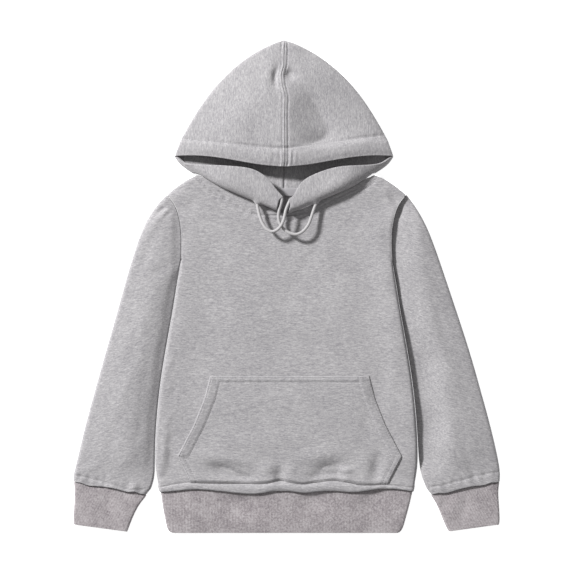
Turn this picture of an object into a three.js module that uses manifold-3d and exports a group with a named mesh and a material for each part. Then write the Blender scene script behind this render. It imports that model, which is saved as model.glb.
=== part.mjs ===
// A toddler's pullover hoodie in heather grey fleece. It lies on its back on a table, sleeves down beside the body,
// with the hood drawn up flat above the neck and its mouth open towards the hem.
// Sizes are millimetres. X runs across the chest, Y from hem to hood and Z up from the table.
// The origin is the middle of the footprint, on the table.
import * as THREE from "three";
import { mergeGeometries, mergeVertices } from "three/addons/utils/BufferGeometryUtils.js";
import Module from "manifold-3d";

const wasm = await Module();
wasm.setup();

// Cloth: how thick each wall is, and the air between two layers that lie on each other.
const FLEECE = 2.4;
const RIB = 3.0; // knitted rib folded double
const POCKET_CLOTH = 2.0;
const LOFT = 3.8;
const RIB_LOFT = 0.9;
const SEAM_GAP = 0.3;
const SEAM_WELT = 1.1; // rise of the seam allowance under a topstitched seam
const WELT_WIDTH = 7;
const WELT_EDGE = 1.6;
const TOUCH = 1e-3;

// Heights of the walls' middles.
const BACK_Z = FLEECE / 2;
const FRONT_Z = FLEECE + LOFT + FLEECE / 2;
const FOLD_Z = (BACK_Z + FRONT_Z) / 2;
const FOLD_RADIUS = (FRONT_Z - BACK_Z) / 2;
const RIB_BACK_Z = RIB / 2;
const RIB_FRONT_Z = RIB + RIB_LOFT + RIB / 2;

// A folded edge in quarter-circle steps: how far in from the edge and how far up, as shares of its radius.
const ROLL = [
  { inset: 0, lift: 0 },
  { inset: 0.134, lift: 0.5 },
  { inset: 0.5, lift: 0.866 },
  { inset: 1, lift: 1 },
];
// The same with a short upright strip at the edge, so that a sewn edge meets its neighbour face to face.
const SEWN_ROLL = [{ inset: 0, lift: 0 }, { inset: 0, lift: 0.15 }, ...ROLL.slice(1)];

// Half the body's width at each height: up the side seam to the armpit, then up the armhole to the shoulder tip.
const BODY_SIDE = [
  { y: -247.2, half: 151.8 },
  { y: -232.2, half: 155.1 },
  { y: -209.4, half: 157.8 },
  { y: -172.2, half: 156.6 },
  { y: -145.8, half: 154.5 },
  { y: -112.2, half: 150.7 },
  { y: -85.8, half: 146.4 },
  { y: -55.8, half: 141.2 },
  { y: -25.3, half: 135.7 },
  { y: 1.8, half: 131.5 },
  { y: 28.2, half: 127.4 },
  { y: 59.4, half: 126.0 },
  { y: 73.8, half: 127.2 },
  { y: 88.2, half: 129.8 },
  { y: 99.0, half: 134.2 },
  { y: 110.5, half: 144.0 },
];
const HEM_Y = -247.2;
const ARMPIT_Y = 28.2;
const TIP_Y = 110.5;
const TIP_X = 144;
const NECK_X = 108; // where the neck seam meets the shoulder seam

// The front's lower edge, where the rib draws the cloth up and down.
const HEM_WAVE = [
  { x: -160, y: -247.6 },
  { x: -131.4, y: -245.4 },
  { x: -110.3, y: -243.2 },
  { x: -78.6, y: -245.9 },
  { x: -35.4, y: -249.4 },
  { x: -13.8, y: -244.9 },
  { x: -3.0, y: -243.9 },
  { x: 18.6, y: -248.3 },
  { x: 50.5, y: -244.7 },
  { x: 82.2, y: -247.4 },
  { x: 119.0, y: -242.2 },
  { x: 160, y: -247.6 },
];
const HEM_BAND = [
  { y: -247.2, half: 151.4 },
  { y: -258.0, half: 149.8 },
  { y: -274.0, half: 145.9 },
  { y: -286.2, half: 143.4 },
  { y: -292.5, half: 141.2 },
  { y: -296, half: 137 },
];
const BAND_LEAN = -2.2; // its lower edge lies a little to the left

// The upper edges, by distance from the middle: the front neckline is a shallow V, the back one nearly straight.
const SHOULDER = [
  { x: 108, y: 135.5 },
  { x: 122.4, y: 127.8 },
  { x: 144, y: 110.5 },
];
const FRONT_NECK = [
  { x: 0, y: 86.5 },
  { x: 12, y: 90.5 },
  { x: 30, y: 98.2 },
  { x: 52, y: 107.4 },
  { x: 79, y: 119.2 },
  { x: 108, y: 135.5 },
];
const BACK_NECK = [
  { x: 0, y: 113 },
  { x: 40, y: 115.5 },
  { x: 80, y: 124 },
  { x: 108, y: 135.5 },
];

// Rows of the body panels, as heights on the side edge. The sleeve's seam has the armhole's rows too.
const ARMHOLE_ROWS = [48, 66, 84, 98];
const FRONT_ROWS = [
  HEM_Y, HEM_Y + WELT_WIDTH, HEM_Y + WELT_WIDTH + WELT_EDGE, -227, -215, -202, -186, -168, -148, -126,
  -102, -78, -52, -26, 2, ARMPIT_Y, ARMPIT_Y + 3.4, ...ARMHOLE_ROWS,
];
const BACK_ROWS = [HEM_Y, HEM_Y + 4, -205, -160, -110, -60, -15, ARMPIT_Y, ARMPIT_Y + 3.4, ...ARMHOLE_ROWS];

// Sleeve sections from armhole to cuff: the inner edge's height and how far it stands off the body on each side, and
// the outer edge. The outer edges lean a little to the left above and to the right below.
const SLEEVE = [
  { innerY: 28.2, left: 0.5, right: 0.5, outerX: 144.8, outerY: 110.4, lean: 0 },
  { innerY: 25.0, left: 0.6, right: 0.6, outerX: 148.2, outerY: 106.4, lean: -0.6 },
  { innerY: 16.0, left: 0.6, right: 0.6, outerX: 158.4, outerY: 93.8, lean: -1.6 },
  { innerY: 4.0, left: 0.6, right: 0.6, outerX: 168.6, outerY: 76.4, lean: -1.8 },
  { innerY: -10, left: 0.6, right: 0.6, outerX: 176.8, outerY: 56.5, lean: -1.6 },
  { innerY: -30, left: 0.6, right: 0.6, outerX: 185.4, outerY: 31, lean: -1.2 },
  { innerY: -55, left: 0.6, right: 0.6, outerX: 194.2, outerY: 3, lean: -0.6 },
  { innerY: -80, left: 0.6, right: 0.6, outerX: 203.6, outerY: -28, lean: 0.4 },
  { innerY: -105, left: 0.6, right: 0.6, outerX: 213.4, outerY: -60, lean: 1.2 },
  { innerY: -132, left: 0.6, right: 0.6, outerX: 222.8, outerY: -91, lean: 1.4 },
  { innerY: -160, left: 0.6, right: 0.6, outerX: 232.4, outerY: -126, lean: 1.5 },
  { innerY: -188, left: 0.6, right: 0.6, outerX: 242.8, outerY: -163, lean: 1.5 },
  { innerY: -211, left: 0.6, right: 1.4, outerX: 250.6, outerY: -196, lean: 1.5 },
  { innerY: -229, left: 2.6, right: 7.0, outerX: 255.0, outerY: -216, lean: 1.2 },
  { innerY: -241.8, left: 9.0, right: 14.4, outerX: 256.6, outerY: -226.2, lean: 0.2 },
  { innerY: -243.4, left: 10.4, right: 15.8, outerX: 256.6, outerY: -227.8, lean: 0.2 },
  { innerY: -250.4, left: 17.0, right: 22.2, outerX: 256.2, outerY: -234.6, lean: 0.2 },
];
const SLEEVE_WELT_ROW = 15; // the first section of the seam allowance above the cuff
const SLEEVE_INNER_DROP = 3.0; // how much lower the sleeve lies where it is tucked against the body
const SLEEVE_TUCK = 18;
const CUFF = [
  { left: 168.3, right: 173.5, innerY: -251.0, outerX: 256.2, outerY: -235.5 },
  { left: 170.4, right: 175.6, innerY: -254.4, outerX: 255.4, outerY: -239.4 },
  { left: 177.6, right: 181.0, innerY: -262.8, outerX: 254.6, outerY: -250.0 },
  { left: 184.0, right: 185.8, innerY: -275.6, outerX: 256.2, outerY: -268.0 },
  { left: 189.8, right: 192.4, innerY: -290.8, outerX: 256.8, outerY: -283.0 },
  { left: 191.2, right: 195.0, innerY: -294.8, outerX: 255.4, outerY: -286.6 },
];

// The hood, measured from its own middle line, which lies a little to the left of the body's.
const HOOD_X = -3;
const HOOD_OUTLINE = [
  { x: 131.4, y: 156.0 },
  { x: 129.6, y: 163.8 },
  { x: 121.8, y: 181.8 },
  { x: 111.4, y: 199.8 },
  { x: 100.4, y: 217.8 },
  { x: 87.2, y: 235.8 },
  { x: 70.8, y: 253.8 },
  { x: 50.2, y: 271.8 },
  { x: 31.0, y: 283.8 },
  { x: 12.0, y: 292.8 },
  { x: 0, y: 296 },
];
const LIP = [
  { x: 0, y: 143.0 },
  { x: 29, y: 145.2 },
  { x: 60, y: 151.2 },
  { x: 95, y: 156.6 },
  { x: 126, y: 157.6 },
  { x: 131.4, y: 156.0 },
];
const LIP_Y = 143;
// Shares of the way from lip to apex, with the lip's stitched hem first. The side edge bunches them lower down.
const HOOD_ROWS = [0, 0.02, 0.13, 0.145, 0.24, 0.35, 0.46, 0.57, 0.68, 0.79, 0.88, 0.945, 0.98, 1];
const HOOD_SIDE_BUNCH = 1.12;
const HEM_ROW = 2; // the last row of the lip's hem
const HOOD_CROWN = [
  { x: 0, y: 12.6 },
  { x: 0.25, y: 13.6 },
  { x: 0.5, y: 11.2 },
  { x: 0.75, y: 6.2 },
  { x: 0.9, y: 2.2 },
  { x: 1, y: 0 },
];
const HEM_RISE = 1.0; // the hood's turned hem is a second layer
const SEAM_RIDGE = 0.7; // the double-stitched middle seam
const SEAM_RIDGE_WIDTH = 4;
const BACK_NECK_Y = 113.5;
const BACK_CORNER_Y = 160; // height on the hood's back middle seam level with the mouth's corners

// The mouth's lower edges run from the corners down to the throat, where the two sides nearly meet.
const MOUTH_EDGE = {
  left: [
    { x: -134.4, y: 156.0 },
    { x: -125.4, y: 148.2 },
    { x: -106, y: 145.8 },
    { x: -82, y: 144.8 },
    { x: -56.2, y: 143.0 },
    { x: -35.0, y: 139.2 },
    { x: -19.8, y: 126.6 },
    { x: -7.8, y: 109.3 },
  ],
  right: [
    { x: 128.4, y: 156.0 },
    { x: 118.0, y: 148.4 },
    { x: 104, y: 145.8 },
    { x: 82, y: 144.6 },
    { x: 62.5, y: 143.4 },
    { x: 42.0, y: 137.6 },
    { x: 18.4, y: 126.6 },
    { x: 9.6, y: 112.0 },
    { x: 5.2, y: 99.0 },
  ],
};
const THROAT_X = { left: -11.5, right: 2.8 };
const NECK_POINT = { x: 109.4, y: 137.3 }; // where the hood's folded side starts, above the shoulder seam
// The roll of the hood's lower front, from neck seam to mouth edge: share of the way, reach out past it and height.
const THROAT_ROLL = [
  { share: 0, out: 0, z: 7.4 },
  { share: 0, out: 0.9, z: 11.6 },
  { share: 0, out: 0.4, z: 15.6 },
  { share: 0.06, out: 0, z: 18.6 },
  { share: 0.28, out: 0, z: 20.6 },
  { share: 0.62, out: 0, z: 21.2 },
  { share: 1, out: 0, z: 20.4 },
];

// The pouch pocket's half width at each height, its offset to the right and its turned hems.
const POCKET = [
  { y: -108.4, half: 96.0 },
  { y: -135.0, half: 102.9 },
  { y: -167.0, half: 115.8 },
  { y: -203.5, half: 135.0 },
  { y: -232.0, half: 121.4 },
  { y: -262.0, half: 107.0 },
];
const POCKET_CORNER_Y = -203.5;
const POCKET_X = 3.6;
const POCKET_HEM = 14;
const POCKET_HEM_RISE = 0.9;

// Soft troughs and ridges: centre, half length, half width, turn in degrees and height.
const BODY_FOLDS = [
  { x: -57, y: -219, along: 24, across: 9, turn: -12, rise: -2.4 },
  { x: -10, y: -222, along: 11, across: 8, turn: 30, rise: -1.6 },
  { x: 50, y: -216, along: 22, across: 9, turn: 8, rise: -2.2 },
  { x: 97, y: -214, along: 12, across: 7, turn: -20, rise: -1.6 },
  { x: -34, y: -236, along: 20, across: 7, turn: 0, rise: 1.6 },
  { x: 20, y: -236, along: 18, across: 7, turn: 0, rise: 1.6 },
  { x: 84, y: -235, along: 20, across: 7, turn: 0, rise: 1.4 },
  { x: -100, y: -190, along: 26, across: 12, turn: 60, rise: -1.0 },
  { x: 0, y: 30, along: 110, across: 60, turn: 0, rise: -0.8 },
  { x: -60, y: -60, along: 100, across: 22, turn: 78, rise: 0.7 },
  { x: 75, y: -40, along: 100, across: 22, turn: -80, rise: 0.7 },
];
const SLEEVE_FOLDS = [
  { x: -152, y: 94, along: 9, across: 4, turn: 40, rise: -1.5 },
  { x: -219, y: -236, along: 12, across: 5, turn: 70, rise: -1.6 },
  { x: -184, y: -240, along: 12, across: 5, turn: 50, rise: 1.3 },
  { x: 219, y: -224, along: 14, across: 5, turn: 20, rise: -1.6 },
  { x: -186, y: -120, along: 60, across: 12, turn: 75, rise: 0.8 },
  { x: 190, y: -60, along: 60, across: 10, turn: -72, rise: -0.8 },
  { x: 205, y: -160, along: 40, across: 10, turn: 40, rise: 0.7 },
];
const HOOD_FOLDS = [
  { x: -12, y: 252, along: 12, across: 7, turn: 70, rise: -2.6 },
  { x: 5, y: 254, along: 10, across: 6, turn: -60, rise: -2.2 },
  { x: 30, y: 196, along: 30, across: 15, turn: -62, rise: -4.6 },
  { x: 47, y: 176, along: 13, across: 8, turn: 40, rise: -1.6 },
  { x: -60, y: 186, along: 34, across: 14, turn: 20, rise: 1.0 },
];

// Drawcord loops. Each comes out of the mouth hem in the throat, stands out over the chest and goes back under a flap.
const CORD_DIAMETER = 3.6;
const CORD_SIDES = 8;
const CORD_STEPS = 38;
const CORD_LEFT = [
  [4.2, 103.2, 20.4],
  [2.7, 99.6, 20.8],
  [0.8, 95.4, 21.2],
  [-0.9, 90.6, 21.6],
  [-2.0, 85.2, 21.8],
  [-3.4, 79.2, 21.8],
  [-6.6, 72.4, 21.6],
  [-11.6, 67.4, 21.0],
  [-17.6, 65.6, 20.2],
  [-23.8, 68.8, 19.3],
  [-28.8, 75.8, 18.3],
  [-32.0, 84.0, 17.2],
  [-34.0, 92.4, 16.2],
  [-35.3, 99.6, 15.6],
];
const CORD_RIGHT = [
  [-5.6, 107.4, 19.8],
  [-5.4, 103.6, 19.9],
  [-6.2, 99.4, 19.5],
  [-7.5, 95.0, 18.8],
  [-8.9, 90.0, 18.0],
  [-9.6, 84.6, 17.3],
  [-8.4, 76.6, 16.9],
  [-3.4, 68.8, 17.2],
  [4.6, 63.6, 18.0],
  [12.6, 62.4, 18.6],
  [20.0, 66.2, 18.6],
  [25.8, 73.4, 18.0],
  [29.4, 82.2, 17.1],
  [32.2, 90.8, 16.2],
  [35.4, 99.4, 15.6],
];

// A smooth curve through a table's rows, read by one column and giving another.
function through(rows, from, to) {
  const slope = (k) => {
    const low = rows[Math.max(0, k - 1)];
    const high = rows[Math.min(rows.length - 1, k + 1)];
    return (high[to] - low[to]) / (high[from] - low[from]);
  };
  return (value) => {
    const held = THREE.MathUtils.clamp(value, rows[0][from], rows[rows.length - 1][from]);
    const k = Math.min(rows.length - 2, Math.max(0, rows.findIndex((row) => row[from] >= held) - 1));
    const span = rows[k + 1][from] - rows[k][from];
    const t = (held - rows[k][from]) / span;
    const start = rows[k][to] * (1 + 2 * t) * (1 - t) ** 2 + slope(k) * span * t * (1 - t) ** 2;
    const end = rows[k + 1][to] * t * t * (3 - 2 * t) + slope(k + 1) * span * t * t * (t - 1);
    return start + end;
  };
}

const lerp = THREE.MathUtils.lerp;
const rising = (share) => THREE.MathUtils.smoothstep(share, 0, 1);
const bodyHalf = through(BODY_SIDE, "y", "half");
const bandHalf = through([...HEM_BAND].reverse(), "y", "half");
const hemWave = through(HEM_WAVE, "x", "y");
const shoulder = through(SHOULDER, "x", "y");
const frontNeck = through(FRONT_NECK, "x", "y");
const backNeck = through(BACK_NECK, "x", "y");
const lip = through(LIP, "x", "y");
const crown = through(HOOD_CROWN, "x", "y");
const pocketHalf = through([...POCKET].reverse(), "y", "half");

// How much the folds in a table raise the cloth at a place.
function foldHeight(folds, x, y) {
  return folds.reduce((sum, fold) => {
    const turn = THREE.MathUtils.degToRad(fold.turn);
    const run = (x - fold.x) * Math.cos(turn) + (y - fold.y) * Math.sin(turn);
    const side = (y - fold.y) * Math.cos(turn) - (x - fold.x) * Math.sin(turn);
    return sum + fold.rise * Math.exp(-((run / fold.along) ** 2) - (side / fold.across) ** 2);
  }, 0);
}

const evenly = (cells) => Array.from({ length: cells - 1 }, (_, k) => (k + 1) / cells);

// Places across a strip of cloth from one folded edge to the other, with the height share at each.
function across(width, radii, shares, roll = ROLL) {
  const [first, last] = radii;
  const flat = shares.map((share) => ({ at: lerp(first, width - last, share), lift: 1, share }));
  return [
    ...roll.map(({ inset, lift }) => ({ at: inset * first, lift, share: 0 })),
    ...flat,
    ...[...roll].reverse().map(({ inset, lift }) => ({ at: width - inset * last, lift, share: 1 })),
  ];
}

// An open sheet of cloth: a grid of points that place(column, row) gives. It faces column x row, or the other way.
function sheet(columns, rows, place, turned = false) {
  const points = [];
  const faces = [];
  for (let row = 0; row <= rows; row += 1) {
    for (let column = 0; column <= columns; column += 1) points.push(...place(column, row));
  }
  for (let row = 0; row < rows; row += 1) {
    for (let column = 0; column < columns; column += 1) {
      const a = row * (columns + 1) + column;
      const [b, d] = turned ? [a + columns + 1, a + 1] : [a + 1, a + columns + 1];
      const c = a + columns + 2;
      faces.push(a, b, c, a, c, d);
    }
  }
  const grid = new THREE.BufferGeometry();
  grid.setAttribute("position", new THREE.Float32BufferAttribute(points, 3));
  grid.setIndex(faces);
  return grid;
}

// Gives sheets that share edges a thickness from one depth to another along their normals, as one closed wall.
function wall(sheets, below, above, raised = () => 0, trim = () => {}) {
  const middle = mergeVertices(mergeGeometries(sheets), TOUCH);
  const faces = [];
  for (let k = 0; k < middle.index.count; k += 3) {
    const [a, b, c] = middle.index.array.slice(k, k + 3);
    if (a !== b && b !== c && c !== a) faces.push([a, b, c]);
  }
  middle.setIndex(faces.flat());
  middle.computeVertexNormals();
  const { position, normal } = middle.attributes;
  const count = position.count;
  const points = [];
  const put = (depth) => {
    for (let k = 0; k < count; k += 1) {
      const p = new THREE.Vector3().fromBufferAttribute(position, k);
      const n = new THREE.Vector3().fromBufferAttribute(normal, k);
      trim(n, p);
      points.push(...p.clone().addScaledVector(n, depth(p)));
    }
  };
  put((p) => above + raised(p));
  put((p) => below + (below > 0 ? raised(p) : 0));
  const edges = new Set(faces.flatMap(([a, b, c]) => [`${a},${b}`, `${b},${c}`, `${c},${a}`]));
  const closed = faces.flatMap(([a, b, c]) => [a, b, c, a + count, c + count, b + count]);
  for (const edge of edges) {
    const [a, b] = edge.split(",").map(Number);
    if (!edges.has(`${b},${a}`)) closed.push(b, a, a + count, b, a + count, b + count);
  }
  const made = new THREE.BufferGeometry();
  made.setAttribute("position", new THREE.Float32BufferAttribute(points, 3));
  made.setIndex(closed);
  return made;
}

const cloth = (sheets, thickness, raised, trim) => wall(sheets, -thickness / 2, thickness / 2, raised, trim);

// Manifold solids, for the pocket's outline.
function toSolid(geometry) {
  const bare = new THREE.BufferGeometry();
  bare.setAttribute("position", geometry.getAttribute("position"));
  bare.setIndex(geometry.index);
  const merged = mergeVertices(bare, TOUCH);
  const mesh = new wasm.Mesh({
    numProp: 3,
    vertProperties: merged.attributes.position.array,
    triVerts: new Uint32Array(merged.index.array),
  });
  return new wasm.Manifold(mesh);
}

function fromSolid(solid) {
  const mesh = solid.getMesh();
  const made = new THREE.BufferGeometry();
  made.setAttribute("position", new THREE.BufferAttribute(new Float32Array(mesh.vertProperties), 3));
  made.setIndex(new THREE.BufferAttribute(mesh.triVerts, 1));
  return made;
}

// The upper edge of a body panel at a distance across: its neckline, then the shoulder seam.
const upperEdge = (neckline) => (x) => {
  const side = Math.abs(x);
  return side > NECK_X ? shoulder(side) : neckline(side) - SEAM_GAP;
};

// A body panel's sheet. Its side and shoulder edges roll to the fold's height; armholes and neckline stay level.
function panelSheet({ rows, cells, neckline, hem, levelZ, edgeZ, folds, turned }) {
  const upper = upperEdge(neckline);
  const endY = TIP_Y - FLEECE / 2;
  const topRoll = [...SEWN_ROLL].reverse().map(({ inset, lift }) => ({ y: endY - inset * FOLD_RADIUS, lift }));
  const lines = [...rows.map((y) => ({ y, lift: 1 })), ...topRoll];
  const shares = evenly(cells);
  const columns = shares.length + 2 * SEWN_ROLL.length - 1;
  const place = (column, row) => {
    const { y: sideY, lift: rowLift } = lines[row];
    const armhole = sideY > ARMPIT_Y + 1;
    const width = 2 * (bodyHalf(sideY) - (armhole ? SEAM_GAP / 2 : FLEECE / 2));
    const stop = across(width, [FOLD_RADIUS, FOLD_RADIUS], shares, SEWN_ROLL)[column];
    const x = stop.at - width / 2;
    const topX = (x / width) * 2 * (TIP_X - SEAM_GAP / 2);
    const onShoulder = Math.abs(topX) > NECK_X - 1;
    const up = (sideY - HEM_Y) / (endY - HEM_Y);
    const y = lerp(hem(x), upper(topX) - (onShoulder ? FLEECE / 2 : 0), up);
    const lift = (armhole ? 1 : stop.lift) * (onShoulder ? rowLift : 1);
    const fold = foldHeight(folds, x, y) * lift * (armhole ? 1 : rising(stop.lift));
    return [x, y, lerp(edgeZ, levelZ, lift) + fold];
  };
  return sheet(columns, lines.length - 1, place, turned);
}

const frontSheet = () =>
  panelSheet({
    rows: FRONT_ROWS,
    cells: 16,
    neckline: frontNeck,
    hem: (x) => hemWave(x) + SEAM_GAP,
    levelZ: FRONT_Z,
    edgeZ: FOLD_Z + SEAM_GAP / 2,
    folds: BODY_FOLDS,
    turned: false,
  });

const backSheet = () =>
  panelSheet({
    rows: BACK_ROWS,
    cells: 8,
    neckline: backNeck,
    hem: () => HEM_Y + SEAM_GAP,
    levelZ: BACK_Z,
    edgeZ: FOLD_Z - SEAM_GAP / 2,
    folds: [],
    turned: true,
  });

// The armhole's edges stand square to the cloth.
const squareArmhole = (n, p) => {
  if (p.y > ARMPIT_Y + 1 && Math.abs(p.x) > bodyHalf(p.y) - 0.5) n.setX(0).normalize();
};

// The seam allowance above the hem seam stands a little proud.
const hemWelt = (p) => SEAM_WELT * (p.y < hemWave(p.x) + WELT_WIDTH + WELT_EDGE / 2 ? 1 : 0);

// Moves a line of points sideways by a distance, to the left of its direction.
function besides(points, distance) {
  return points.map((point, k) => {
    const before = points[Math.max(0, k - 1)];
    const after = points[Math.min(points.length - 1, k + 1)];
    const run = after.clone().sub(before).setLength(distance);
    return new THREE.Vector2(point.x - run.y, point.y + run.x);
  });
}

// A tube of cloth that lies flat: closed rings between an inner and an outer edge, from one end to the other.
function tubeSheet(sections, shares, turned) {
  const ring = 2 * (shares.length + 2 * ROLL.length - 1);
  const place = (column, row) => {
    const section = sections[row];
    const onTop = column <= ring / 2;
    const width = section.inner.distanceTo(section.outer);
    const stops = across(width, [section.innerRadius, section.outerRadius], shares);
    const stop = stops[onTop ? column : (ring - column) % ring];
    const spot = section.inner.clone().lerp(section.outer, stop.at / width);
    const edgeZ = lerp(section.backZ + section.innerRadius, section.backZ + section.outerRadius, stop.share);
    const levelZ = onTop ? section.topZ(stop.at) : section.backZ;
    const bulge = section.bulge ? section.bulge(stop.at / width) : 0;
    const fold = onTop && section.folds ? foldHeight(section.folds, spot.x + bulge, spot.y) * rising(stop.lift) : 0;
    return [spot.x + bulge, spot.y, lerp(edgeZ, levelZ, stop.lift) + fold];
  };
  return sheet(ring, sections.length - 1, place, turned);
}

// One sleeve: its first ring follows the armhole's curve, and its inner side lies low against the body.
function sleeveGeometry(side) {
  const rail = (spots, distance) => besides(spots.map(([x, y]) => new THREE.Vector2(x, y)), distance);
  const hand = side > 0 ? "right" : "left";
  const innerRail = rail(SLEEVE.map((row) => [bodyHalf(row.innerY) + row[hand], row.innerY]), FLEECE / 2);
  const outerRail = rail(SLEEVE.map((row) => [row.outerX + side * row.lean, row.outerY]), -FLEECE / 2);
  const armholeGap = SLEEVE[0][hand];
  const sections = SLEEVE.map((row, k) => {
    const tuck = rising((k - 1) / 3) * (1 - rising((k - 12) / 2));
    const innerRadius = FOLD_RADIUS - (SLEEVE_INNER_DROP / 2) * tuck;
    const curve = 1 - rising(k / 6);
    return {
      inner: innerRail[k],
      outer: outerRail[k],
      innerRadius,
      outerRadius: FOLD_RADIUS,
      backZ: BACK_Z,
      topZ: (at) => FRONT_Z - SLEEVE_INNER_DROP * tuck * (1 - rising(at / SLEEVE_TUCK)),
      bulge: (share) => {
        const start = innerRail[0].clone().lerp(outerRail[0], share);
        return curve * rising(share / 0.04) * (bodyHalf(start.y) + armholeGap - start.x);
      },
      folds: SLEEVE_FOLDS.map((fold) => ({ ...fold, x: fold.x * side, turn: fold.turn * side })),
    };
  });
  const reach = outerRail[0].y - innerRail[0].y - 2 * FOLD_RADIUS;
  const shares = ARMHOLE_ROWS.map((y) => (y - innerRail[0].y - FOLD_RADIUS) / reach);
  const grid = tubeSheet(sections, shares, false);
  const weltLine = SLEEVE[SLEEVE_WELT_ROW];
  const weltStart = (x) => lerp(weltLine.innerY, weltLine.outerY, (x - 168) / 88) + WELT_EDGE / 2;
  const made = cloth([grid], FLEECE, (p) => (p.y < weltStart(p.x) && p.z > FOLD_Z ? SEAM_WELT : 0));
  return side > 0 ? made : mirrored(made);
}

function cuffGeometry(side) {
  const radius = (RIB_FRONT_Z - RIB_BACK_Z) / 2;
  const hand = side > 0 ? "right" : "left";
  const innerRail = besides(CUFF.map((row) => new THREE.Vector2(row[hand], row.innerY)), RIB / 2);
  const outerRail = besides(CUFF.map((row) => new THREE.Vector2(row.outerX, row.outerY)), -RIB / 2);
  const sections = CUFF.map((_, k) => {
    return {
      inner: innerRail[k],
      outer: outerRail[k],
      innerRadius: radius,
      outerRadius: radius,
      backZ: RIB_BACK_Z,
      topZ: () => RIB_FRONT_Z,
    };
  });
  const made = cloth([tubeSheet(sections, evenly(5), false)], RIB);
  return side > 0 ? made : mirrored(made);
}

// The other hand of a geometry: x is mirrored and every face turned back outwards.
function mirrored(geometry) {
  const other = geometry.clone().scale(-1, 1, 1);
  const faces = other.index.array;
  for (let k = 0; k < faces.length; k += 3) [faces[k + 1], faces[k + 2]] = [faces[k + 2], faces[k + 1]];
  return other;
}

// The rib band round the hem. Its upper edge follows the front's wave on top and lies straight below.
function hemBandGeometry() {
  const radius = (RIB_FRONT_Z - RIB_BACK_Z) / 2;
  const rows = [0, 0.06, 0.32, 0.62, 0.87, 0.96, 1];
  const bottomY = HEM_BAND[HEM_BAND.length - 1].y;
  const shares = evenly(16);
  const ring = 2 * (shares.length + 2 * ROLL.length - 1);
  const place = (column, row) => {
    const onTop = column <= ring / 2;
    const levelY = lerp(HEM_Y, bottomY, rows[row]);
    const half = bandHalf(levelY) - RIB / 2;
    const stop = across(2 * half, [radius, radius], shares)[onTop ? column : (ring - column) % ring];
    const x = stop.at - half;
    const startY = onTop ? lerp(HEM_Y, hemWave(x), stop.lift) : HEM_Y;
    const edgeZ = RIB_BACK_Z + radius;
    const z = lerp(edgeZ, onTop ? RIB_FRONT_Z : RIB_BACK_Z, stop.lift);
    return [x + BAND_LEAN * rows[row], lerp(startY, bottomY, rows[row]), z];
  };
  const trim = (n, p) => {
    if (p.y < bottomY + TOUCH || p.y > hemWave(p.x) - 1) n.setY(0).normalize();
  };
  return cloth([sheet(ring, rows.length - 1, place, true)], RIB, () => 0, trim);
}

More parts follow.
